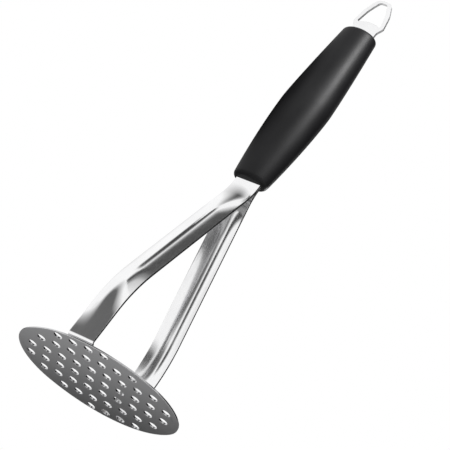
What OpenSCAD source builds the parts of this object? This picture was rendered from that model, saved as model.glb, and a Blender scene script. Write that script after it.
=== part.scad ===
// Potato masher: an oval perforated plate on two pressed steel arms that meet
// in a flat neck, a soft black grip and a stamped hanging loop.
// Units are millimetres. The plate lies on the XY plane with its underside at
// Z = 0, its long axis is Y, the arms stand at -X and +X, and Z runs up the handle.

/* [Plate] */
// Long axis of the oval plate, along Y
plate_length = 95; // [80:1:110]
// Short axis of the oval plate, along X
plate_width = 70; // [62:1:80]
// Thickness of the plate
plate_thickness = 1; // [0.8:0.1:2]
// Radius of the plate's outline at each end of its long axis
plate_end_radius = 28; // [24:0.5:30]

/* [Holes] */
// Diameter of each masher hole
hole_diameter = 5; // [3:0.1:6]
// Distance between neighbouring holes in one row
hole_pitch = 9.2; // [8:0.1:10]
// Distance between neighbouring rows
row_spacing = 10; // [8:0.1:10.5]

/* [Arms] */
// Width of the steel strip that each arm is pressed from
strip_width = 14.6; // [12:0.1:16]
// Thickness of the strip
strip_thickness = 1.2; // [0.8:0.1:2]
// Distance from the plate's edge in to the outer face of each arm
foot_inset = 0.3; // [0.2:0.1:4]
// Outer radius of the turned-in foot
foot_radius = 2.2; // [1.8:0.1:4]
// Height where the line of the sloping part meets the line of the upright foot
knee_height = 36; // [30:1:45]
// Angle between the sloping part of an arm and the handle's axis
arm_angle = 20; // [15:1:24]
// Radius of the bend above the foot
knee_radius = 80; // [30:1:90]
// Radius of the bend where an arm joins the neck
fork_radius = 30; // [15:1:50]
// Height of the ridge pressed along the middle of each arm
ridge_height = 2.7; // [0:0.1:3.5]

/* [Grip] */
// Length of the grip along Z
grip_length = 110.5; // [100:0.5:130]
// Length of bare flat neck between the fork and the grip
neck_length = 1.5; // [1:0.5:12]
// Width of the grip at its middle, along Y
grip_mid_width = 29.1; // [26:0.1:34]
// Width of the grip at its lower end, along Y
grip_bottom_width = 20.2; // [20:0.1:24]
// Width of the grip at its upper end, along Y
grip_top_width = 20.4; // [19.5:0.1:24]
// Depth of the grip along X as a share of its width
grip_depth_ratio = 0.72; // [0.7:0.01:1]
// Rounding of the grip's lower end
grip_bottom_round = 2.4; // [1.5:0.1:4]
// Rounding of the grip's upper end
grip_top_round = 2.2; // [1.5:0.1:4]
// Wall of the soft sleeve around the hard core
sleeve_wall = 2; // [1.6:0.1:2.2]

/* [Hanging loop] */
// Thickness of the loop's sheet
loop_thickness = 1.5; // [1:0.1:2]
// Height that the loop stands out of the grip
loop_height = 26; // [22:0.5:32]
// Width of the loop at its widest
loop_width = 18.8; // [18:0.1:24]

/* [Hidden] */

steel = [0.78, 0.79, 0.8];
core_grey = [0.25, 0.25, 0.26];
soft_black = [0.06, 0.06, 0.065];

$fn = 48;
// Small overlap between joined shapes, and the reach of a cutter past a face
past = 0.5;

// Number of holes in each row, from the middle row outwards
row_counts = [10, 9, 7, 4];

// The plate's outline is four tangent arcs: two ends and two flat sides
half_length = plate_length / 2;
half_width = plate_width / 2;
side_radius = (pow(half_length, 2) + pow(half_width, 2) - 2 * half_length * plate_end_radius)
    / (2 * (half_width - plate_end_radius));
side_centre = side_radius - half_width;
end_centre = half_length - plate_end_radius;
tangent_y = end_centre * side_radius / (side_radius - plate_end_radius);

// The two strips lie face to face in the neck with a hair of air between them
neck_gap = 0.1;
neck_x = (strip_thickness + neck_gap) / 2;
foot_x = half_width - foot_inset - strip_thickness / 2;
foot_bend = foot_radius - strip_thickness / 2;
foot_z = plate_thickness + foot_radius;
knee_start = knee_height - knee_radius * tan(arm_angle / 2);
fork_height = knee_height + (foot_x - neck_x) / tan(arm_angle);
fork_end = fork_height + fork_radius * tan(arm_angle / 2);

grip_bottom = fork_end + neck_length;
grip_top = grip_bottom + grip_length;
grip_middle = (grip_bottom + grip_top) / 2;

// Narrow parts of the strips and of the loop, held inside the core
tang_width = 10;
shoulder = 2;
tang_top = grip_bottom + 62;
loop_tail_bottom = grip_top - 34;
end_wall = 2.4;
// Air between neighbouring moulded surfaces
fit_gap = 0.3;
// Air around steel that the moulded core holds
steel_gap = 0.1;

rivet_radius = 1.5;
rivet_head_radius = 2.8;
rivet_top_radius = 1.7;
rivet_head_height = 0.8;
rivet_heights = [grip_bottom + 20, grip_bottom + 50];
loop_pin_height = loop_tail_bottom + 8;
loop_pin_length = 12;

peg_radius = 1.6;
peg_depth = 3;
peg_root = 1;
peg_y = 7.6;
peg_heights = [grip_middle - 22, grip_middle + 16];

// Strip cross-section: points across the width, and how sharp the ridge is
across = 10;
ridge_softness = 0.6;
ridge_foot_z = [foot_z - 2, foot_z + 30];
ridge_neck_z = [fork_height - 24, fork_end];

// Steps round a bend and round the grip, and stations along the grip
bend_steps = 8;
grip_around = 44;
grip_stations = 22;
end_steps = 4;

// Small welds that tie each foot to the plate
weld_radius = 0.9;
weld_half_length = 1.4;

// Smooth step from 0 below a to 1 above b
function ease(v, a, b) =
    let (t = max(0, min(1, (v - a) / (b - a))))
    t * t * (3 - 2 * t);

// ---------------------------------------------------------------- plate

module plate_outline() {
    intersection() {
        translate([side_centre, 0])
            circle(r = side_radius, $fn = 180);
        translate([-side_centre, 0])
            circle(r = side_radius, $fn = 180);
        square([plate_width + 2 * past, 2 * tangent_y], center = true);
    }
    for (side = [-1, 1])
        translate([0, side * end_centre])
            circle(r = plate_end_radius, $fn = 120);
}

module hole_row(count) {
    for (i = [0 : count - 1])
        translate([0, (i - (count - 1) / 2) * hole_pitch])
            circle(d = hole_diameter);
}

module hole_pattern() {
    for (row = [-3 : 3])
        translate([row * row_spacing, 0])
            hole_row(row_counts[abs(row)]);
}

module masher_plate() {
    color(steel)
        linear_extrude(plate_thickness)
            difference() {
                plate_outline();
                hole_pattern();
            }
}

// ---------------------------------------------------------------- arms

// Each station is [x, z, lean]: a point on the strip's middle surface and the
// angle between the strip and the vertical there.
function foot_stations() = [
    for (i = [0 : bend_steps])
        let (lean = -90 + 90 * i / bend_steps)
        [foot_x - foot_bend + foot_bend * cos(lean), foot_z + foot_bend * sin(lean), lean]
];

function knee_stations() = [
    for (i = [0 : bend_steps])
        let (lean = arm_angle * i / bend_steps)
        [foot_x - knee_radius + knee_radius * cos(lean), knee_start + knee_radius * sin(lean), lean]
];

function fork_stations() = [
    for (i = [0 : bend_steps])
        let (lean = arm_angle * (1 - i / bend_steps))
        [neck_x + fork_radius - fork_radius * cos(lean), fork_end - fork_radius * sin(lean), lean]
];

function slope_stations(from, to, steps) = [
    for (i = [1 : steps - 1])
        let (t = i / steps)
        [from[0] + t * (to[0] - from[0]), from[1] + t * (to[1] - from[1]), from[2] + t * (to[2] - from[2])]
];

function tang_stations() = [
    [neck_x, grip_bottom + shoulder, 0],
    [neck_x, grip_bottom + 2 * shoulder, 0],
    [neck_x, tang_top, 0]
];

function arm_stations() =
    let (foot = foot_stations(), knee = knee_stations(), fork = fork_stations())
    concat(
        foot,
        slope_stations(foot[bend_steps], knee[0], 4),
        knee,
        slope_stations(knee[bend_steps], fork[0], 10),
        fork,
        tang_stations()
    );

function station_half_width(z) =
    z > grip_bottom + 1.5 * shoulder ? tang_width / 2 : strip_width / 2;

function ridge_at(z) =
    ridge_height * ease(z, ridge_foot_z[0], ridge_foot_z[1]) * (1 - ease(z, ridge_neck_z[0], ridge_neck_z[1]));

// A soft roof shape: 1 on the middle line and 0 at both edges of the strip
function roof(u) =
    let (k = ridge_softness)
    (sqrt(1 + k * k) - sqrt(u * u + k * k)) / (sqrt(1 + k * k) - k);

function strip_point(s, u, face) =
    let (out = ridge_at(s[1]) * roof(u) + face * strip_thickness / 2)
    [s[0] + out * cos(s[2]), u * station_half_width(s[1]), s[1] + out * sin(s[2])];

function strip_ring(s) = concat(
    [for (i = [0 : across]) strip_point(s, -1 + 2 * i / across, 1)],
    [for (i = [0 : across]) strip_point(s, 1 - 2 * i / across, -1)]
);

// Joins rings of equal point count into one closed solid with flat ends
module loft(rings) {
    n = len(rings[0]);
    last = len(rings) - 1;
    side_faces = [
        for (k = [0 : last - 1])
            for (i = [0 : n - 1])
                let (j = (i + 1) % n, a = k * n, b = (k + 1) * n)
                for (face = [[a + i, b + i, a + j], [a + j, b + i, b + j]])
                    face
    ];
    // Each end is closed by a ladder of triangles between the ring's two halves
    rungs = [for (i = [0 : n / 2 - 2]) [i, i + 1, n - 2 - i, n - 1 - i]];
    bottom = [for (q = rungs) for (face = [[q[0], q[1], q[2]], [q[0], q[2], q[3]]]) face];
    top = [for (face = bottom) [for (k = [2 : -1 : 0]) last * n + face[k]]];
    polyhedron(points = [for (ring = rings) for (p = ring) p], faces = concat(side_faces, bottom, top));
}

module arm_strip() {
    difference() {
        loft([for (s = arm_stations()) strip_ring(s)]);
        for (z = rivet_heights)
            translate([neck_x, 0, z])
                rotate([0, 90, 0])
                    cylinder(r = rivet_radius + steel_gap / 2, h = 4 * strip_thickness, center = true);
    }
}

module right_arm() {
    color(steel)
        arm_strip();
}

module left_arm() {
    color(steel)
        mirror([1, 0, 0])
            arm_strip();
}

// Three short welds on the inner side of each turned-in foot
module foot_weld(y) {
    translate([foot_x - foot_bend - weld_radius - steel_gap, y, plate_thickness])
        intersection() {
            rotate([90, 0, 0])
                cylinder(r = weld_radius, h = 2 * weld_half_length, center = true);
            translate([0, 0, weld_radius])
                cube([4 * weld_radius, 4 * weld_half_length, 2 * weld_radius], center = true);
        }
}

module foot_welds() {
    color(steel)
        for (side = [0, 1])
            mirror([side, 0, 0])
                for (y = [-1, 0, 1] * strip_width / 2)
                    foot_weld(y);
}

// ---------------------------------------------------------------- rivets and pin

module rivet_head() {
    cylinder(r1 = rivet_head_radius, r2 = rivet_top_radius, h = rivet_head_height);
}

module tang_rivet() {
    reach = strip_thickness + neck_gap / 2 + steel_gap / 2;
    rotate([0, 90, 0]) {
        cylinder(r = rivet_radius, h = 2 * reach + past, center = true);
        for (side = [0, 1])
            mirror([0, 0, side])
                translate([0, 0, reach])
                    rivet_head();
    }
}

module tang_rivets() {
    color(steel)
        for (z = rivet_heights)
            translate([0, 0, z])
                tang_rivet();
}

module loop_pin() {
    color(steel)
        translate([0, 0, loop_pin_height])
            rotate([0, 90, 0])
                cylinder(r = rivet_radius, h = loop_pin_length, center = true);
}

// ---------------------------------------------------------------- hanging loop

// Rounded outline: every corner is [y, z, radius]
function corner_points(before, corner, after, steps) =
    let (
        p = [corner[0], corner[1]],
        to_before = [before[0], before[1]] - p,
        to_after = [after[0], after[1]] - p,
        a = to_before / norm(to_before),
        b = to_after / norm(to_after),
        half_angle = acos(a * b) / 2,
        bisector = (a + b) / norm(a + b),
        centre = p + bisector * corner[2] / sin(half_angle),
        start = p + a * corner[2] / tan(half_angle) - centre,
        end = p + b * corner[2] / tan(half_angle) - centre,
        turn = acos(max(-1, min(1, start * end / (norm(start) * norm(end)))))
    )
    corner[2] == 0 ? [p] : [
        for (i = [0 : steps])
            let (t = i / steps)
            centre + (start * sin((1 - t) * turn) + end * sin(t * turn)) / sin(turn)
    ];

module rounded_outline(corners, steps = 8) {
    n = len(corners);
    polygon([
        for (i = [0 : n - 1])
            for (p = corner_points(corners[(i + n - 1) % n], corners[i], corners[(i + 1) % n], steps))
                p
    ]);
}

loop_top = grip_top + loop_height;
loop_flare_z = grip_top + 8;
loop_step_z = grip_top + 4;
loop_base_half = 7.3;
loop_half = loop_width / 2;
loop_side_half = 8;
loop_side_z = grip_top + 17;
loop_top_half = 4.3;
loop_hole_half = 7.4;
loop_hole_side_half = 5.4;
loop_hole_top_half = 2.2;
loop_hole_z = grip_top + 8.2;
loop_hole_top = grip_top + 24.4;
// The lower edge of the hole bulges upwards in a low arc
lip_half_chord = 6;
lip_rise = 1.4;
lip_radius = (pow(lip_half_chord, 2) + pow(lip_rise, 2)) / (2 * lip_rise);

// Corners of the right half; the left half mirrors them in reverse order
module symmetric_outline(right) {
    last = len(right) - 1;
    left = [for (i = [last : -1 : 0]) [-right[i][0], right[i][1], right[i][2]]];
    rounded_outline(concat(right, left));
}

module loop_outline() {
    tail = tang_width / 2;
    shoulder_z = grip_top - end_wall - shoulder;
    symmetric_outline([
        [tail, loop_tail_bottom, 1],
        [tail, shoulder_z, 0],
        [loop_base_half, shoulder_z + shoulder, 0],
        [loop_base_half, loop_step_z, 3],
        [loop_half, loop_flare_z, 2.4],
        [loop_side_half, loop_side_z, 14],
        [loop_top_half, loop_top, 4.4]
    ]);
}

module loop_hole() {
    difference() {
        symmetric_outline([
            [loop_hole_half, loop_hole_z, 1],
            [loop_hole_side_half, loop_side_z, 12],
            [loop_hole_top_half, loop_hole_top, 1.8]
        ]);
        translate([0, loop_hole_z + lip_rise - lip_radius])
            circle(r = lip_radius, $fn = 96);
    }
}

module hang_loop() {
    color(steel)
        rotate([90, 0, 90])
            translate([0, 0, -loop_thickness / 2])
                linear_extrude(loop_thickness)
                    difference() {
                        loop_outline();
                        loop_hole();
                        translate([0, loop_pin_height])
                            circle(r = rivet_radius + steel_gap / 2);
                    }
}

// ---------------------------------------------------------------- grip

// How the grip narrows towards each end: 1 is a straight taper, more is a rounder belly
taper_low = 1.7;
taper_high = 1.25;

// Half width of the grip's outside at height z, before its ends are rounded
function grip_half(z) =
    let (
        low = z < grip_middle,
        t = min(1, abs(z - grip_middle) / (grip_length / 2)),
        end_width = low ? grip_bottom_width : grip_top_width,
        power = low ? taper_low : taper_high
    )
    (grip_mid_width - (grip_mid_width - end_width) * pow(t, power)) / 2;

// How far the rounding pulls the surface in at a distance d from the end
function rounding(d, r) = d >= r ? 0 : r - sqrt(r * r - (r - d) * (r - d));

// Heights of the stations of a grip-shaped body from z0 to z1, whose ends are rounded by r0 and r1
function grip_heights(z0, z1, r0, r1) = concat(
    [for (i = [0 : end_steps - 1]) z0 + r0 * (1 - cos(90 * i / end_steps))],
    [for (i = [0 : grip_stations]) z0 + r0 + (z1 - z0 - r0 - r1) * i / grip_stations],
    [for (i = [end_steps - 1 : -1 : 0]) z1 - r1 * (1 - cos(90 * i / end_steps))]
);

function oval_ring(half_y, half_x, z) = [
    for (i = [0 : grip_around - 1])
        let (angle = 360 * i / grip_around)
        [half_x * cos(angle), half_y * sin(angle), z]
];

// A body with the grip's shape, its surface moved in by inset
module grip_body(inset, z0, z1, r0, r1) {
    loft([
        for (z = grip_heights(z0, z1, r0, r1))
            let (in = inset + rounding(z - z0, r0) + rounding(z1 - z, r1))
            oval_ring(grip_half(z) - in, grip_half(z) * grip_depth_ratio - in, z)
    ]);
}

core_inset = sleeve_wall + fit_gap;
core_bottom = grip_bottom + end_wall + fit_gap;
core_top = grip_top - end_wall - fit_gap;
core_round = 1;

module grip_sleeve() {
    color(soft_black)
        difference() {
            grip_body(0, grip_bottom, grip_top, grip_bottom_round, grip_top_round);
            grip_body(sleeve_wall, grip_bottom + end_wall, grip_top - end_wall, core_round, core_round);
            translate([0, 0, grip_bottom + end_wall / 2])
                cube([2 * strip_thickness + neck_gap + 2 * steel_gap, strip_width + 2 * steel_gap,
                    end_wall + 2 * past], center = true);
            translate([0, 0, grip_top - end_wall / 2])
                cube([loop_thickness + 2 * steel_gap, 2 * (loop_base_half + fit_gap),
                    end_wall + 2 * past], center = true);
        }
}

// Room inside the core for the tangs, the loop's tail, the rivet heads and the pin
module core_pockets() {
    tang_room = 2 * strip_thickness + neck_gap + 2 * steel_gap;
    translate([-tang_room / 2, -tang_width / 2 - steel_gap, core_bottom - past])
        cube([tang_room, tang_width + 2 * steel_gap, tang_top - core_bottom + past + fit_gap]);
    translate([-loop_thickness / 2 - steel_gap, -tang_width / 2 - steel_gap, loop_tail_bottom - fit_gap])
        cube([loop_thickness + 2 * steel_gap, tang_width + 2 * steel_gap, core_top - loop_tail_bottom + past + fit_gap]);
    for (z = rivet_heights)
        translate([0, 0, z])
            rotate([0, 90, 0])
                cylinder(r = rivet_head_radius + fit_gap, h = tang_room + 2 * rivet_head_height + fit_gap, center = true);
    translate([0, 0, loop_pin_height])
        rotate([0, 90, 0])
            cylinder(r = rivet_radius + steel_gap / 2, h = loop_pin_length + fit_gap, center = true);
}

module core_half() {
    difference() {
        grip_body(core_inset, core_bottom, core_top, core_round, core_round);
        core_pockets();
        translate([-grip_mid_width + steel_gap / 2, 0, grip_middle])
            cube([2 * grip_mid_width, 2 * grip_mid_width, 2 * grip_length], center = true);
    }
}

module peg_places() {
    for (z = peg_heights)
        for (side = [-1, 1])
            translate([0, side * peg_y, z])
                rotate([0, 90, 0])
                    children();
}

module core_back_half() {
    color(core_grey)
        difference() {
            core_half();
            peg_places()
                cylinder(r = peg_radius + steel_gap, h = 2 * (peg_depth + fit_gap), center = true);
        }
}

module core_front_half() {
    color(core_grey) {
        mirror([1, 0, 0])
            core_half();
        peg_places()
            translate([0, 0, -peg_root])
                cylinder(r = peg_radius, h = peg_depth + peg_root);
    }
}

masher_plate();
left_arm();
right_arm();
foot_welds();
tang_rivets();
hang_loop();
loop_pin();
core_front_half();
core_back_half();
grip_sleeve();
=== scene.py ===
"""Potato masher: finer visible pieces, materials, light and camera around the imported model."""
import math

import bmesh
import bpy
from mathutils import Matrix, Vector


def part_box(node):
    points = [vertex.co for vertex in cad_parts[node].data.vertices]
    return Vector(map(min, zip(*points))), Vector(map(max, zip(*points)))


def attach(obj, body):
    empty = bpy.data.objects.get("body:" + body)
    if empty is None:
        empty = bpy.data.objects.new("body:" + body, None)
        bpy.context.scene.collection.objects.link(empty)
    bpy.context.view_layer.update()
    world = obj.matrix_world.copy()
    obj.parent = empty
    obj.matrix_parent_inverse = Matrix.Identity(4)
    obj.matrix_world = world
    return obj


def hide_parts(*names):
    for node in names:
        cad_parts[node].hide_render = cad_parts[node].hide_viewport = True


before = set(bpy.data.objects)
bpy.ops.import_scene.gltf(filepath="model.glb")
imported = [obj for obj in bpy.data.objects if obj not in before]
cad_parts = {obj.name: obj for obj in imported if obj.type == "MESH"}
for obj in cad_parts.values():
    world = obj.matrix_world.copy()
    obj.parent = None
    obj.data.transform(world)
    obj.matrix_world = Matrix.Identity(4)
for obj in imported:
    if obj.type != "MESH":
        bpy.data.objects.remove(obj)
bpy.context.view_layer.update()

MM = 0.001
plate_low, plate_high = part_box("masher_plate")
arm_low, arm_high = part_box("right_arm")
grip_low, grip_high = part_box("grip_sleeve")
loop_low, loop_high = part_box("hang_loop")
weld_low, weld_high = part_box("foot_welds")
rivet_low, rivet_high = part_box("tang_rivets")
pin_low, pin_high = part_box("loop_pin")

# Driving sizes that several pieces share
pin_bore_radius = 1.55 * MM
slot_gap = 0.1 * MM
loop_slot_gap = 0.3 * MM
tang_shoulder = 2 * MM
tang_half_width = 5 * MM
end_wall = 2.4 * MM

# ---------------------------------------------------------------- mesh helpers


def smooth(mesh, angle):
    """Smooth shading that keeps edges sharper than this many degrees."""
    mesh.shade_smooth()
    mesh.set_sharp_from_angle(angle=math.radians(angle))


def add_piece(name, mesh, slot, material, *nodes):
    """A finished mesh becomes a piece that stands for these CAD nodes."""
    piece = bpy.data.objects.new(name, mesh)
    bpy.context.scene.collection.objects.link(piece)
    mesh.materials.clear()
    mesh.materials.append(material)
    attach(piece, "root")
    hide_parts(*nodes)
    return piece


def loft(name, rings):
    """A closed mesh through rings of equal point count, with a flat face at each end."""
    bm = bmesh.new()
    rows = [[bm.verts.new(p) for p in ring] for ring in rings]
    count = len(rings[0])
    for lower, upper in zip(rows, rows[1:]):
        for i in range(count):
            j = (i + 1) % count
            bm.faces.new((lower[i], lower[j], upper[j], upper[i]))
    bm.faces.new(reversed(rows[0]))
    bm.faces.new(rows[-1])
    bmesh.ops.recalc_face_normals(bm, faces=bm.faces)
    mesh = bpy.data.meshes.new(name)
    bm.to_mesh(mesh)
    bm.free()
    return mesh


def stamped(name, outlines, thickness, rounding):
    """Sheet metal cut to flat outlines, the first one outside and the rest holes, with rounded edges."""
    curve = bpy.data.curves.new(name, "CURVE")
    curve.dimensions = "2D"
    curve.fill_mode = "BOTH"
    curve.extrude = thickness / 2 - rounding
    curve.bevel_depth = rounding
    curve.bevel_resolution = 3
    curve.offset = -rounding
    for k, outline in enumerate(outlines):
        points = outline if k == 0 else outline[::-1]
        spline = curve.splines.new("POLY")
        spline.points.add(len(points) - 1)
        for point, (a, b) in zip(spline.points, points):
            point.co = (a, b, 0, 1)
        spline.use_cyclic_u = True
    holder = bpy.data.objects.new(name, curve)
    bpy.context.scene.collection.objects.link(holder)
    depsgraph = bpy.context.evaluated_depsgraph_get()
    mesh = bpy.data.meshes.new_from_object(holder.evaluated_get(depsgraph))
    bpy.data.objects.remove(holder)
    bm = bmesh.new()
    bm.from_mesh(mesh)
    bmesh.ops.remove_doubles(bm, verts=bm.verts, dist=0.001 * MM)
    bmesh.ops.recalc_face_normals(bm, faces=bm.faces)
    bm.to_mesh(mesh)
    bm.free()
    return mesh


def cut(mesh, cutters):
    """The mesh with every cutter mesh taken away from it."""
    holder = bpy.data.objects.new(mesh.name, mesh)
    tools = [bpy.data.objects.new(cutter.name, cutter) for cutter in cutters]
    for o in [holder, *tools]:
        bpy.context.scene.collection.objects.link(o)
    for tool in tools:
        modifier = holder.modifiers.new("cut", "BOOLEAN")
        modifier.operation = "DIFFERENCE"
        modifier.solver = "EXACT"
        modifier.object = tool
    depsgraph = bpy.context.evaluated_depsgraph_get()
    result = bpy.data.meshes.new_from_object(holder.evaluated_get(depsgraph))
    for o in [holder, *tools]:
        bpy.data.objects.remove(o)
    return result


def block(low, high):
    """A box mesh between two corners, used as a cutter."""
    corners = [(low[0], low[1]), (high[0], low[1]), (high[0], high[1]), (low[0], high[1])]
    return loft("block", [[(x, y, z) for x, y in corners] for z in (low[2], high[2])])


def cross_bar(centre, radius, length, around=32):
    """A round bar along X, used as a cutter."""
    ring = [(radius * math.cos(2 * math.pi * i / around), radius * math.sin(2 * math.pi * i / around))
            for i in range(around)]
    ends = (centre.x - length / 2, centre.x + length / 2)
    return loft("bar", [[(x, centre.y + a, centre.z + b) for a, b in ring] for x in ends])


def ease(v, a, b):
    """Smooth step from 0 below a to 1 above b."""
    t = max(0, min(1, (v - a) / (b - a)))
    return t * t * (3 - 2 * t)


# ---------------------------------------------------------------- material helpers


class Nodes:
    """A node tree with short calls for the nodes that the materials share."""

    def __init__(self, name):
        self.material = bpy.data.materials.new(name)
        self.material.use_nodes = True
        self.tree = self.material.node_tree
        self.shader = self.tree.nodes["Principled BSDF"]
        self.place = self.new("ShaderNodeTexCoord").outputs["Object"]

    def new(self, kind, **settings):
        node = self.tree.nodes.new(kind)
        for key, value in settings.items():
            setattr(node, key, value)
        return node

    def link(self, output, socket):
        self.tree.links.new(output, socket)

    def noise(self, stretch, detail=4, roughness=0.5):
        """Noise with this many features per metre along X, Y and Z."""
        mapping = self.new("ShaderNodeMapping")
        mapping.inputs["Scale"].default_value = stretch
        self.link(self.place, mapping.inputs["Vector"])
        noise = self.new("ShaderNodeTexNoise")
        noise.inputs["Scale"].default_value = 1
        noise.inputs["Detail"].default_value = detail
        noise.inputs["Roughness"].default_value = roughness
        self.link(mapping.outputs["Vector"], noise.inputs["Vector"])
        return noise.outputs["Fac"]

    def spread(self, value, low, high, start=0.3, end=0.7):
        """The value's range start to end becomes low to high."""
        mapped = self.new("ShaderNodeMapRange")
        mapped.inputs["From Min"].default_value = start
        mapped.inputs["From Max"].default_value = end
        mapped.inputs["To Min"].default_value = low
        mapped.inputs["To Max"].default_value = high
        self.link(value, mapped.inputs["Value"])
        return mapped.outputs["Result"]

    def blend(self, value, first, second, start=0.3, end=0.7):
        """A colour that goes from first to second as the value goes from start to end."""
        ramp = self.new("ShaderNodeValToRGB")
        ramp.color_ramp.elements[0].position = start
        ramp.color_ramp.elements[1].position = end
        ramp.color_ramp.elements[0].color = (*first, 1)
        ramp.color_ramp.elements[1].color = (*second, 1)
        self.link(value, ramp.inputs["Fac"])
        return ramp.outputs["Color"]

    def bump(self, height, distance, strength=1):
        bump = self.new("ShaderNodeBump")
        bump.inputs["Distance"].default_value = distance
        bump.inputs["Strength"].default_value = strength
        self.link(height, bump.inputs["Height"])
        return bump.outputs["Normal"]

    def cut_edges(self, across):
        """1 on the cut edges of a flat sheet and 0 on its faces, which look along the axis across."""
        normal = self.new("ShaderNodeSeparateXYZ")
        self.link(self.new("ShaderNodeNewGeometry").outputs["Normal"], normal.inputs["Vector"])
        level = self.new("ShaderNodeMath", operation="ABSOLUTE")
        self.link(normal.outputs[across], level.inputs[0])
        return self.spread(level.outputs["Value"], 1, 0, start=0.05, end=0.4)

    def total(self, first, second):
        """The sum of two values."""
        total = self.new("ShaderNodeMath", operation="ADD")
        self.link(first, total.inputs[0])
        self.link(second, total.inputs[1])
        return total.outputs["Value"]

    def outward(self):
        """Above zero where a face looks away from the plane X = 0, and below zero where it looks at it."""
        product = self.new("ShaderNodeMath", operation="MULTIPLY")
        normal = self.new("ShaderNodeNewGeometry").outputs["Normal"]
        for vector, socket in zip((self.place, normal), product.inputs):
            parts = self.new("ShaderNodeSeparateXYZ")
            self.link(vector, parts.inputs["Vector"])
            self.link(parts.outputs["X"], socket)
        return product.outputs["Value"]

    def set(self, **values):
        """Sockets of the shader by name, with _ for a space: a number or colour, or an output to link."""
        for key, value in values.items():
            socket = self.shader.inputs[key.replace("_", " ")]
            if isinstance(value, bpy.types.NodeSocket):
                self.link(value, socket)
            else:
                socket.default_value = value


def steel(name, light, dark, roughness, stretch, grain, inner_roughness=0, across="", edge_roughness=0):
    """Steel with grain drawn out along one axis, faint stains and a slight change of gloss.

    Faces that look towards the handle's axis are rougher by inner_roughness. The faces of a flat
    sheet look along the axis across, and its cut edges are rougher than them by edge_roughness.
    """
    n = Nodes(name)
    brushing = n.noise(stretch, detail=5, roughness=0.6)
    stains = n.noise((60, 60, 60), detail=3)
    gloss = n.spread(brushing, roughness[0], roughness[1])
    if inner_roughness:
        gloss = n.total(gloss, n.spread(n.outward(), inner_roughness, 0, start=-0.001, end=0.001))
    if across:
        gloss = n.total(gloss, n.spread(n.cut_edges(across), 0, edge_roughness, start=0, end=1))
    n.set(
        Metallic=1.0,
        Base_Color=n.blend(stains, dark, light),
        Roughness=gloss,
        Normal=n.bump(brushing, grain),
    )
    return n.material


def soft_rubber():
    """Near-black soft rubber with a very fine moulded texture and faint handling marks."""
    n = Nodes("soft_grip_rubber")
    texture = n.noise((3500, 3500, 3500), detail=2)
    waves = n.noise((90, 90, 40), detail=3)
    n.set(
        Base_Color=n.blend(waves, (0.0045, 0.0045, 0.005), (0.007, 0.007, 0.0075)),
        Roughness=n.spread(waves, 0.43, 0.5),
        Specular_IOR_Level=0.16,
        Normal=n.bump(texture, 0.02 * MM, 0.5),
    )
    return n.material


def core_plastic():
    """Matte moulded plastic with flow marks."""
    n = Nodes("core_plastic_moulded")
    flow = n.noise((30, 30, 160), detail=4)
    n.set(
        Base_Color=n.blend(flow, (0.045, 0.045, 0.05), (0.07, 0.07, 0.075)),
        Roughness=n.spread(flow, 0.5, 0.65),
        Normal=n.bump(flow, 0.05 * MM, 0.4),
    )
    return n.material


def weld_steel():
    """Bare steel with the straw and blue tints of heat."""
    n = Nodes("weld_steel_heated")
    heat = n.noise((700, 700, 700), detail=4)
    n.set(
        Metallic=1.0,
        Base_Color=n.blend(heat, (0.42, 0.42, 0.46), (0.62, 0.57, 0.48)),
        Roughness=n.spread(heat, 0.28, 0.45),
        Normal=n.bump(heat, 0.05 * MM, 0.5),
    )
    return n.material


satin = steel(
    "plate_satin_steel",
    light=(0.64, 0.64, 0.65),
    dark=(0.61, 0.61, 0.62),
    roughness=(0.27, 0.36),
    stretch=(2600, 60, 2600),
    grain=0.003 * MM,
    across="Z",
    edge_roughness=-0.2,
)
polished = steel(
    "arm_polished_steel",
    light=(0.93, 0.93, 0.935),
    dark=(0.88, 0.88, 0.885),
    roughness=(0.07, 0.13),
    stretch=(900, 2400, 40),
    grain=0.001 * MM,
    inner_roughness=0.04,
)
loop_steel = steel(
    "loop_polished_steel",
    light=(0.92, 0.92, 0.925),
    dark=(0.86, 0.86, 0.865),
    roughness=(0.12, 0.2),
    stretch=(700, 700, 700),
    grain=0.002 * MM,
    across="X",
    edge_roughness=0.45,
)
rubber = soft_rubber()
weld = weld_steel()
moulded = core_plastic()

# ---------------------------------------------------------------- plate

hole_radius = 2.5 * MM
hole_pitch = 9.2 * MM
row_spacing = 10 * MM
row_counts = (10, 9, 7, 4)  # from the middle row outwards
plate_end_radius = 28 * MM
hole_rounding = 0.08 * MM
rim_rounding = 0.28 * MM


def arc(centre, radius, start, end, steps):
    """Points on an arc between two angles, in degrees."""
    angles = [math.radians(start + (end - start) * i / steps) for i in range(steps + 1)]
    return [(centre[0] + radius * math.cos(a), centre[1] + radius * math.sin(a)) for a in angles]


def plate_arcs():
    """Radius of the outline's flat sides, where its end arcs are centred, and where the two meet."""
    half_length, half_width, end = plate_high.y, plate_high.x, plate_end_radius
    side = (half_length ** 2 + half_width ** 2 - 2 * half_length * end) / (2 * (half_width - end))
    end_centre = half_length - end
    return side, end_centre, end_centre * side / (side - end)


def plate_outline():
    """Four tangent arcs: a long flat one on each side and a tight one at each end."""
    side, end_centre, tangent = plate_arcs()
    lean = math.degrees(math.asin(tangent / side))
    side_centre = side - plate_high.x
    points = arc((-side_centre, 0), side, -lean, lean, 60)
    points += arc((0, end_centre), plate_end_radius, lean, 180 - lean, 60)[1:]
    points += arc((side_centre, 0), side, 180 - lean, 180 + lean, 60)[1:]
    points += arc((0, -end_centre), plate_end_radius, 180 + lean, 360 - lean, 60)[1:-1]
    return points


def plate_holes():
    holes = []
    for row in range(-3, 4):
        count = row_counts[abs(row)]
        for i in range(count):
            centre = (row * row_spacing, (i - (count - 1) / 2) * hole_pitch)
            holes.append(arc(centre, hole_radius, 0, 360, 40)[:-1])
    return holes


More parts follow.
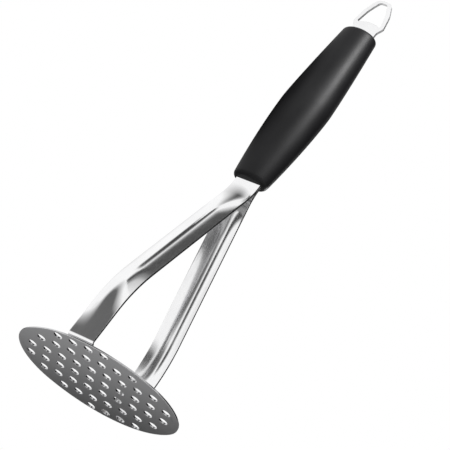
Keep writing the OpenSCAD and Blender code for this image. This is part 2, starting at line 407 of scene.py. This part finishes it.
def rim_point(x, y):
    """Distance in from the plate's rim, and the outward direction there."""
    side_radius, end_centre, tangent = plate_arcs()
    if abs(y) < tangent:
        centre = Vector((math.copysign(side_radius - plate_high.x, -x), 0))
        radius = side_radius
    else:
        centre = Vector((0, math.copysign(end_centre, y)))
        radius = plate_end_radius
    out = Vector((x, y)) - centre
    return radius - out.length, out.normalized()


def soften_rim(mesh, start, rounding, middle):
    """Widens the small rounding that the rim shares with the holes."""
    for vertex in mesh.vertices:
        inward, out = rim_point(vertex.co.x, vertex.co.y)
        if inward > 1.1 * start:
            continue
        half_thickness = plate_high.z - middle
        height = vertex.co.z - middle
        sunk = half_thickness - abs(height)
        grow = rounding / start
        move = out * (inward * (1 - grow))
        vertex.co.x += move.x
        vertex.co.y += move.y
        vertex.co.z = middle + math.copysign(half_thickness - sunk * grow, height)


def make_plate():
    thickness = plate_high.z - plate_low.z
    middle = (plate_low.z + plate_high.z) / 2
    mesh = stamped("masher_plate_sheet", [plate_outline(), *plate_holes()], thickness, hole_rounding)
    mesh.transform(Matrix.Translation((0, 0, middle)))
    soften_rim(mesh, hole_rounding, rim_rounding, middle)
    smooth(mesh, 10)
    return add_piece("masher_plate_sheet", mesh, "satin_steel", satin, "masher_plate")


# ---------------------------------------------------------------- arms

strip_thickness = 1.2 * MM
foot_inset = 0.3 * MM
foot_radius = 2.2 * MM
knee_height = 36 * MM
knee_radius = 80 * MM
fork_radius = 30 * MM
arm_angle = 20
ridge_height = 2.7 * MM
ridge_softness = 0.6
ridge_foot_fade = (-2 * MM, 30 * MM)  # from the foot's bend
ridge_neck_fade = 24 * MM  # below the fork
bore_length = 8 * MM
edge_rounding = 0.1 * MM

neck_x = arm_low.x + strip_thickness / 2
foot_x = round(plate_high.x, 4) - foot_inset - strip_thickness / 2
foot_z = plate_high.z + foot_radius
foot_bend = foot_radius - strip_thickness / 2
slope = math.tan(math.radians(arm_angle))
half_slope = math.tan(math.radians(arm_angle / 2))
knee_start = knee_height - knee_radius * half_slope
fork_height = knee_height + (foot_x - neck_x) / slope
fork_end = fork_height + fork_radius * half_slope


def bend(centre, radius, start, end, steps):
    """Stations (x, z, lean) round a bend whose centre is on the strip's inner side."""
    leans = [start + (end - start) * i / steps for i in range(steps + 1)]
    return [(x, z, lean) for (x, z), lean in zip(arc(centre, radius, start, end, steps), leans)]


def between(first, last, steps):
    """Stations on the straight stretch between two others, ends left out."""
    return [tuple(a + (b - a) * i / steps for a, b in zip(first, last)) for i in range(1, steps)]


def arm_stations():
    foot = bend((foot_x - foot_bend, foot_z), foot_bend, -90, 0, 12)
    knee = bend((foot_x - knee_radius, knee_start), knee_radius, 0, arm_angle, 16)
    fork = [(2 * (neck_x + fork_radius) - x, 2 * fork_end - z, lean) for x, z, lean in
            bend((neck_x + fork_radius, fork_end), fork_radius, arm_angle, 0, 16)]
    tang = [(neck_x, z, 0) for z in (grip_low.z + tang_shoulder, grip_low.z + 2 * tang_shoulder, arm_high.z)]
    return [*foot, *between(foot[-1], knee[0], 12), *knee, *between(knee[-1], fork[0], 40), *fork, *tang]


def ridge_at(z):
    """Height of the pressed ridge, which fades out towards the foot and the neck."""
    from_foot = ease(z, foot_z + ridge_foot_fade[0], foot_z + ridge_foot_fade[1])
    from_neck = ease(z, fork_height - ridge_neck_fade, fork_end)
    return ridge_height * from_foot * (1 - from_neck)


def roof(u):
    """A soft roof shape: 1 on the middle line and 0 at both edges."""
    k = ridge_softness
    return (math.hypot(1, k) - math.hypot(u, k)) / (math.hypot(1, k) - k)


def strip_section(half_width, ridge, steps=36, corner_steps=5):
    """(across, out) points round the strip: outer face, one edge, inner face, other edge."""
    flat = half_width - edge_rounding
    half_thickness = strip_thickness / 2

    def rise(across):
        return ridge * roof(across / half_width)

    outer = [(y, rise(y) + half_thickness) for y in (flat * (2 * i / steps - 1) for i in range(steps + 1))]
    inner = [(-y, rise(y) - half_thickness) for y, _ in outer]
    corner = []
    for side, turns in ((1, range(1, corner_steps + 1)), (-1, range(corner_steps, 2 * corner_steps))):
        for i in turns:
            turn = math.pi * i / (2 * corner_steps)
            y = flat + edge_rounding * math.sin(turn)
            sink = side * (half_thickness - edge_rounding)
            corner.append((y, rise(y) + sink + edge_rounding * math.cos(turn)))
    mirrored = [(-y, out) for y, out in reversed(corner)]
    return outer + corner + inner + mirrored


def arm_rings():
    rings = []
    for x, z, lean in arm_stations():
        narrow = z > grip_low.z + 1.5 * tang_shoulder
        section = strip_section(tang_half_width if narrow else arm_high.y, ridge_at(z))
        across, up = math.cos(math.radians(lean)), math.sin(math.radians(lean))
        rings.append([(x + out * across, y, z + out * up) for y, out in section])
    return rings


def rivet_places():
    """The two rivets, found from the box that holds both."""
    radius = (rivet_high.y - rivet_low.y) / 2
    return [Vector((0, 0, rivet_low.z + radius)), Vector((0, 0, rivet_high.z - radius))]


def make_arm(name, node, side):
    bars = [cross_bar(place, pin_bore_radius, bore_length) for place in rivet_places()]
    mesh = cut(loft(name, arm_rings()), bars)
    if side < 0:
        mesh.transform(Matrix.Scale(-1, 4, (1, 0, 0)))
        mesh.flip_normals()
    mesh.name = name
    smooth(mesh, 16)
    return add_piece(name, mesh, "polished_steel", polished, node)


bead_fill = (0.97, 0.98, 0.93)  # keeps the ripples inside the CAD bead
bead_blunt_end = 0.02
bead_ripple = 0.05
bead_passes = 4


def bead(bm, centre, radius, half_length, steps=14, around=12):
    """A short weld bead along Y with the ripples of its passes."""
    rows = []
    for i in range(steps + 1):
        t = 2 * i / steps - 1
        swell = math.sqrt(max(bead_blunt_end, 1 - t ** 4))
        swell *= 1 + bead_ripple * math.cos(2 * math.pi * bead_passes * t)
        y = centre[1] + half_length * t * bead_fill[1]
        row = []
        for k in range(around + 1):
            a = math.pi * k / around
            x = centre[0] + bead_fill[0] * radius * swell * math.cos(a)
            z = centre[2] + bead_fill[2] * radius * swell * math.sin(a)
            row.append(bm.verts.new((x, y, z)))
        rows.append(row)
    for lower, upper in zip(rows, rows[1:]):
        for k in range(around):
            bm.faces.new((lower[k], lower[k + 1], upper[k + 1], upper[k]))
        bm.faces.new((lower[-1], lower[0], upper[0], upper[-1]))
    bm.faces.new(rows[0])
    bm.faces.new(reversed(rows[-1]))


def make_welds():
    """Three beads along the inner side of each foot."""
    radius = weld_high.z - weld_low.z
    half_length = weld_high.y - arm_high.y
    bm = bmesh.new()
    for side in (-1, 1):
        for step in (-1, 0, 1):
            centre = (side * (weld_high.x - radius), step * arm_high.y, weld_low.z)
            bead(bm, centre, radius, half_length)
    bmesh.ops.recalc_face_normals(bm, faces=bm.faces)
    mesh = bpy.data.meshes.new("foot_weld_beads")
    bm.to_mesh(mesh)
    bm.free()
    smooth(mesh, 60)
    return add_piece("foot_weld_beads", mesh, "weld_steel", weld, "foot_welds")


# ---------------------------------------------------------------- hanging loop

loop_base_half = 7.3 * MM
loop_half = 9.4 * MM
loop_side_half = 8 * MM
loop_top_half = 4.3 * MM
loop_hole_half = 7.4 * MM
loop_hole_side_half = 5.4 * MM
loop_hole_top_half = 2.2 * MM
loop_step_z = grip_high.z + 4 * MM
loop_flare_z = grip_high.z + 8 * MM
loop_hole_z = grip_high.z + 8.2 * MM
loop_side_z = grip_high.z + 17 * MM
loop_hole_top = grip_high.z + 24.4 * MM
lip_half_chord = 6 * MM
lip_rise = 1.4 * MM
loop_rounding = 0.1 * MM


def rounded(corners, steps=10):
    """A closed outline whose corners, each (y, z, radius), are replaced by arcs."""
    points = []
    for i, (y, z, radius) in enumerate(corners):
        corner = Vector((y, z))
        if radius == 0:
            points.append((y, z))
            continue
        before = (Vector(corners[i - 1][:2]) - corner).normalized()
        after = (Vector(corners[(i + 1) % len(corners)][:2]) - corner).normalized()
        half = before.angle(after) / 2
        centre = corner + (before + after).normalized() * (radius / math.sin(half))
        start = corner + before * (radius / math.tan(half)) - centre
        end = corner + after * (radius / math.tan(half)) - centre
        for k in range(steps + 1):
            points.append(tuple(centre + start.normalized().slerp(end.normalized(), k / steps) * radius))
    return points


def loop_outline():
    shoulder = grip_high.z - end_wall - tang_shoulder
    right = [
        (tang_half_width, loop_low.z, 1 * MM),
        (tang_half_width, shoulder, 0),
        (loop_base_half, shoulder + tang_shoulder, 0),
        (loop_base_half, loop_step_z, 3 * MM),
        (loop_half, loop_flare_z, 2.4 * MM),
        (loop_side_half, loop_side_z, 14 * MM),
        (loop_top_half, loop_high.z, 4.4 * MM),
    ]
    return rounded(right + [(-y, z, radius) for y, z, radius in reversed(right)])


def loop_hole():
    """Follows the loop's sides; its lower edge bulges upwards in a low arc."""
    right = [
        (loop_hole_half, loop_hole_z, 1 * MM),
        (loop_hole_side_half, loop_side_z, 12 * MM),
        (loop_hole_top_half, loop_hole_top, 1.8 * MM),
    ]
    sides = rounded(right + [(-y, z, radius) for y, z, radius in reversed(right)])
    radius = (lip_half_chord ** 2 + lip_rise ** 2) / (2 * lip_rise)
    lean = math.degrees(math.asin(lip_half_chord / radius))
    lip = arc((0, loop_hole_z + lip_rise - radius), radius, 90 + lean, 90 - lean, 16)[2:-2]
    return sides + lip


def make_loop():
    pin = arc((0, (pin_low.z + pin_high.z) / 2), pin_bore_radius, 0, 360, 32)[:-1]
    thickness = loop_high.x - loop_low.x
    mesh = stamped("hang_loop_stamped", [loop_outline(), loop_hole(), pin], thickness, loop_rounding)
    mesh.transform(Matrix(((0, 0, 1, 0), (1, 0, 0, 0), (0, 1, 0, 0), (0, 0, 0, 1))))
    smooth(mesh, 10)
    return add_piece("hang_loop_stamped", mesh, "loop_steel", loop_steel, "hang_loop")


# ---------------------------------------------------------------- grip

grip_mid_half = grip_high.y
grip_depth_ratio = grip_high.x / grip_high.y
grip_bottom_half = 10.1 * MM
grip_top_half = 10.2 * MM
grip_bottom_taper = 1.7
grip_top_taper = 1.25
grip_bottom_round = 2.4 * MM
grip_top_round = 2.2 * MM
sleeve_wall = 2 * MM
core_round = 1 * MM
grip_middle = (grip_low.z + grip_high.z) / 2
grip_half_length = (grip_high.z - grip_low.z) / 2


def grip_half(z):
    """Half width of the grip at height z, before its ends are rounded."""
    t = min(1, abs(z - grip_middle) / grip_half_length)
    if z < grip_middle:
        end, taper = grip_bottom_half, grip_bottom_taper
    else:
        end, taper = grip_top_half, grip_top_taper
    return grip_mid_half - (grip_mid_half - end) * t ** taper


def pulled_in(distance, radius):
    """How far an end's rounding pulls the surface in at this distance from the end."""
    if distance >= radius:
        return 0
    return radius - math.sqrt(radius ** 2 - (radius - distance) ** 2)


def grip_body(name, inset, z0, z1, r0, r1, around=96, stations=64, end_steps=10):
    """A body with the grip's shape, its surface moved in by inset."""
    turns = [1 - math.cos(math.pi / 2 * i / end_steps) for i in range(end_steps)]
    heights = [z0 + r0 * t for t in turns]
    heights += [z0 + r0 + (z1 - z0 - r0 - r1) * i / stations for i in range(stations + 1)]
    heights += [z1 - r1 * t for t in reversed(turns)]
    rings = []
    for z in heights:
        gone = inset + pulled_in(z - z0, r0) + pulled_in(z1 - z, r1)
        half = grip_half(z)
        angles = [2 * math.pi * i / around for i in range(around)]
        rings.append([((half * grip_depth_ratio - gone) * math.cos(a), (half - gone) * math.sin(a), z)
                      for a in angles])
    return loft(name, rings)


def make_grip():
    """The soft sleeve: hollow for the core, with a slot at each end for the neck and the loop."""
    z0, z1 = grip_low.z, grip_high.z
    outside = grip_body("grip_sleeve_soft", 0, z0, z1, grip_bottom_round, grip_top_round)
    hollow = grip_body("hollow", sleeve_wall, z0 + end_wall, z1 - end_wall, core_round, core_round)
    neck = Vector((arm_low.x + strip_thickness + slot_gap, arm_high.y + slot_gap, end_wall))
    loop = Vector((loop_high.x + slot_gap, loop_base_half + loop_slot_gap, end_wall))
    slots = [block((-s.x, -s.y, z - s.z), (s.x, s.y, z + s.z)) for s, z in ((neck, z0), (loop, z1))]
    mesh = cut(outside, [hollow, *slots])
    mesh.name = "grip_sleeve_soft"
    smooth(mesh, 50)
    return add_piece("grip_sleeve_soft", mesh, "soft_grip", rubber, "grip_sleeve")


make_plate()
make_arm("left_arm_strip", "left_arm", -1)
make_arm("right_arm_strip", "right_arm", 1)
make_welds()
make_loop()
grip = make_grip()
grip.visible_glossy = False  # so that the neck mirrors only the pale studio

# The CAD nodes that stay inside the grip get a finish in their material slots
inner_finishes = {
    "tang_rivets": weld,
    "loop_pin": weld,
    "core_front_half": moulded,
    "core_back_half": moulded,
}
for node, finish in inner_finishes.items():
    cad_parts[node].data.materials[0] = finish

# ---------------------------------------------------------------- camera

# Found by fitting the plate's outline and its round holes
camera_place = Vector((-0.7619, -0.4915, -0.3274))
image_right = Vector((0.2088, -0.8118, 0.5453))
image_down = Vector((0.6161, -0.3238, -0.7180))
camera_data = bpy.data.cameras.new("camera")
camera_data.lens = 160
camera_data.sensor_width = 36
camera_data.clip_start = 0.01
camera = bpy.data.objects.new("camera", camera_data)
axes = [image_right, -image_down, -image_right.cross(image_down)]
camera.matrix_world = Matrix.Translation(camera_place) @ Matrix(axes).transposed().to_4x4()
bpy.context.scene.collection.objects.link(camera)
bpy.context.scene.camera = camera

# ---------------------------------------------------------------- floor, cards and light


def stage_plane(name, place, facing, width, height, material, up=(0, 0, 1)):
    """A flat stage rectangle whose front looks along facing and whose height runs along up."""
    bm = bmesh.new()
    turns = ((-1, -1), (1, -1), (1, 1), (-1, 1))
    bm.faces.new([bm.verts.new((a * width / 2, b * height / 2, 0)) for a, b in turns])
    mesh = bpy.data.meshes.new(name)
    bm.to_mesh(mesh)
    bm.free()
    mesh.materials.append(material)
    plane = bpy.data.objects.new(name, mesh)
    plane.rotation_mode = "QUATERNION"
    front = Vector(facing).normalized()
    side = Vector(up).cross(front).normalized()
    plane.rotation_quaternion = Matrix((side, front.cross(side), front)).transposed().to_quaternion()
    plane.location = place
    bpy.context.scene.collection.objects.link(plane)
    return plane


def floor_paint():
    """Pale matte floor that is seen from above only, because the photograph looks up from below it."""
    n = Nodes("floor_paint")
    mottle = n.noise((14, 14, 14), detail=3)
    n.set(
        Base_Color=n.blend(mottle, (0.86, 0.86, 0.86), (0.9, 0.9, 0.9)),
        Roughness=0.8,
        Emission_Color=(1, 1, 1, 1),
        Emission_Strength=0.2,
    )
    clear = n.new("ShaderNodeBsdfTransparent")
    side = n.new("ShaderNodeNewGeometry")
    mix = n.new("ShaderNodeMixShader")
    n.link(side.outputs["Backfacing"], mix.inputs["Fac"])
    n.link(n.shader.outputs["BSDF"], mix.inputs[1])
    n.link(clear.outputs["BSDF"], mix.inputs[2])
    n.link(mix.outputs["Shader"], n.tree.nodes["Material Output"].inputs["Surface"])
    return n.material


floor_size = 6
floor_gap = 0.2 * MM
floor_place = (0, 0, -floor_gap)
floor = stage_plane("floor", floor_place, (0, 0, 1), floor_size, floor_size, floor_paint(), up=(0, 1, 0))
floor.visible_glossy = False
floor.visible_diffuse = False
floor.visible_transmission = False
floor.visible_shadow = False


def mirrors_only(plane):
    """Hides a stage plane from everything but reflections."""
    plane.visible_camera = False
    plane.visible_diffuse = False
    plane.visible_transmission = False
    plane.visible_shadow = False


def glow(name, width, height, brightness):
    """Dim light that fades to white from half-way out to an oval edge."""
    n = Nodes(name)
    mapping = n.new("ShaderNodeMapping")
    mapping.inputs["Scale"].default_value = (2 / width, 2 / height, 1)
    inside = n.new("ShaderNodeTexGradient", gradient_type="SPHERICAL")
    n.link(n.place, mapping.inputs["Vector"])
    n.link(mapping.outputs["Vector"], inside.inputs["Vector"])
    light = n.new("ShaderNodeEmission")
    fade = n.blend(inside.outputs["Fac"], (1, 1, 1), (brightness,) * 3, start=0, end=0.5)
    n.link(fade, light.inputs["Color"])
    n.link(light.outputs["Emission"], n.tree.nodes["Material Output"].inputs["Surface"])
    return n.material


def card(name, place, facing, width, height, brightness, up=(0, 0, 1)):
    """A dark studio card that polished surfaces mirror and nothing else sees."""
    light = glow(name, width, height, brightness)
    mirrors_only(stage_plane(name, place, facing, width, height, light, up))


# Places of the colour sockets of a Mix node, which share their names with its other sockets
MIX_COLOR_A = 6
MIX_COLOR_B = 7
MIX_COLOR_RESULT = 2


def studio_world():
    """White for the camera. Mirrors see a bright studio with dark bands and one dark side."""
    world = bpy.data.worlds.new("studio")
    world.use_nodes = True
    bpy.context.scene.world = world
    tree = world.node_tree
    tree.nodes.clear()

    def new(kind, **settings):
        node = tree.nodes.new(kind)
        for key, value in settings.items():
            setattr(node, key, value)
        return node

    def dotted(axis):
        """How far the ray's direction points along an axis, from -1 to 1."""
        node = new("ShaderNodeVectorMath", operation="DOT_PRODUCT")
        node.inputs[1].default_value = Vector(axis).normalized()
        tree.links.new(direction, node.inputs[0])
        return node.outputs["Value"]

    def ramp(value, stops):
        """Grey levels at places from -1 to 1."""
        share = new("ShaderNodeMapRange")
        share.inputs["From Min"].default_value = -1
        tree.links.new(value, share.inputs["Value"])
        node = new("ShaderNodeValToRGB")
        node.color_ramp.interpolation = "EASE"
        elements = node.color_ramp.elements
        elements[0].position, elements[1].position = 0, 1
        for place, _ in stops[1:-1]:
            elements.new((place + 1) / 2)
        for element, (place, level) in zip(elements, stops):
            element.position = (place + 1) / 2
            element.color = (level, level, level, 1)
        tree.links.new(share.outputs["Result"], node.inputs["Fac"])
        return node.outputs["Color"]

    direction = new("ShaderNodeTexCoord").outputs["Generated"]
    bands = ramp(dotted(band_axis), band_levels)
    dark_side = ramp(dotted(dark_axis), dark_levels)
    both = new("ShaderNodeMix", data_type="RGBA", blend_type="MULTIPLY")
    both.inputs["Factor"].default_value = 1
    tree.links.new(bands, both.inputs[MIX_COLOR_A])
    tree.links.new(dark_side, both.inputs[MIX_COLOR_B])
    studio = new("ShaderNodeBackground")
    studio.inputs["Strength"].default_value = studio_strength
    tree.links.new(both.outputs[MIX_COLOR_RESULT], studio.inputs["Color"])
    white = new("ShaderNodeBackground")
    white.inputs["Color"].default_value = (1, 1, 1, 1)
    rays = new("ShaderNodeLightPath")
    chosen = new("ShaderNodeMixShader")
    tree.links.new(rays.outputs["Is Camera Ray"], chosen.inputs["Fac"])
    tree.links.new(studio.outputs["Background"], chosen.inputs[1])
    tree.links.new(white.outputs["Background"], chosen.inputs[2])
    tree.links.new(chosen.outputs["Shader"], new("ShaderNodeOutputWorld").inputs["Surface"])


def mirrored(point, normal):
    """The direction from which the camera sees a mirror at this point with this normal lit."""
    seen = (Vector(point) - camera_place).normalized()
    normal = Vector(normal).normalized()
    return seen - 2 * seen.dot(normal) * normal


def foot_card(distance=0.1):
    """Darkens the upright foot of the left arm."""
    face = Vector((-foot_x - strip_thickness / 2, 0, 13 * MM))
    direction = mirrored(face, (-1, -0.14, 0))
    place = face + distance * direction
    card("foot_card", place, -direction, width=0.17, height=0.12, brightness=0.13)


def line_card(name, side, turn, distance, width):
    """Mirrored as one soft dark line along an arm, where its ridge is turned this many degrees.

    On the left arm (side -1) it shows on the outer face, on the right arm on the inner face.
    """
    lean, turn = math.radians(arm_angle), math.radians(turn)
    normal = (-math.cos(lean) * math.cos(turn), -math.sin(turn), -side * math.sin(lean) * math.cos(turn))
    ends, facing = [], Vector()
    knee = Vector((side * foot_x, 0, knee_height))
    fork = Vector((side * neck_x, 0, fork_height))
    for share in (0, 1.05):
        face = knee.lerp(fork, share)
        direction = mirrored(face, normal)
        ends.append(face + distance * direction)
        facing -= direction
    along = ends[1] - ends[0]
    middle = (ends[0] + ends[1]) / 2
    card(name, middle, facing, width, height=1.5 * along.length, brightness=0.05, up=along)


foot_card()
line_card("left_line_card", -1, turn=8, distance=0.8, width=0.45)
line_card("right_line_card", 1, turn=-14, distance=0.5, width=0.24)
flag_place = (5 * MM, grip_high.y + 7.5 * MM, grip_middle + 7 * MM)
card("grip_flag", flag_place, (0, -1, 0), width=0.09, height=0.12, brightness=0.01)


def plate_card(fade_height=38 * MM):
    """Stands below the floor and fades upwards, so that the plate's underside has a slow gradient."""
    n = Nodes("plate_card")
    height = n.new("ShaderNodeSeparateXYZ")
    n.link(n.place, height.inputs["Vector"])
    light = n.new("ShaderNodeEmission")
    n.link(n.spread(height.outputs["Y"], 0.5, 0.06, start=0, end=fade_height), light.inputs["Strength"])
    n.link(light.outputs["Emission"], n.tree.nodes["Material Output"].inputs["Surface"])
    place = (70 * MM, 45 * MM, -62 * MM)
    mirrors_only(stage_plane("plate_card", place, (-1, 0, 0), width=0.5, height=0.12, material=n.material))


plate_card()

band_axis = (-0.767, -0.389, 0.510)
band_levels = [
    (-1, 0.3), (-0.5, 0.12), (-0.3, 0.85), (-0.17, 1),
    (0.75, 1), (0.8, 0.6), (0.845, 0.08), (0.88, 0.07), (0.92, 0.25), (0.955, 0.65), (1, 0.85),
]
dark_axis = (0.4, -0.8, 0.45)
dark_levels = [(-1, 1), (0.7, 1), (0.82, 0.02), (1, 0.02)]
studio_strength = 1.02
studio_world()


def softbox(name, direction, target, power, lit, distance=0.4, width=0.1, height=0.15):
    """An area light that lights only one piece."""
    light = bpy.data.lights.new(name, "AREA")
    light.shape = "RECTANGLE"
    light.size = width
    light.size_y = height
    light.energy = power
    lamp = bpy.data.objects.new(name, light)
    direction = Vector(direction).normalized()
    lamp.rotation_mode = "QUATERNION"
    lamp.rotation_quaternion = direction.to_track_quat("Z", "Y")
    lamp.location = Vector(target) + direction * distance
    lamp.visible_camera = False
    receivers = bpy.data.collections.new(name + "_receivers")
    receivers.objects.link(lit)
    lamp.light_linking.receiver_collection = receivers
    bpy.context.scene.collection.objects.link(lamp)


key_target = Vector((0, 0, grip_high.z - 20 * MM))
back_target = Vector((0, 0, grip_high.z - 25 * MM))
softbox("grip_light", (-0.62, -0.485, 0.617), key_target, power=3.4, lit=grip)
softbox("grip_back_light", (0.8, -0.1, -0.1), back_target, power=0.8, lit=grip)

bpy.context.scene.view_settings.view_transform = "Standard"
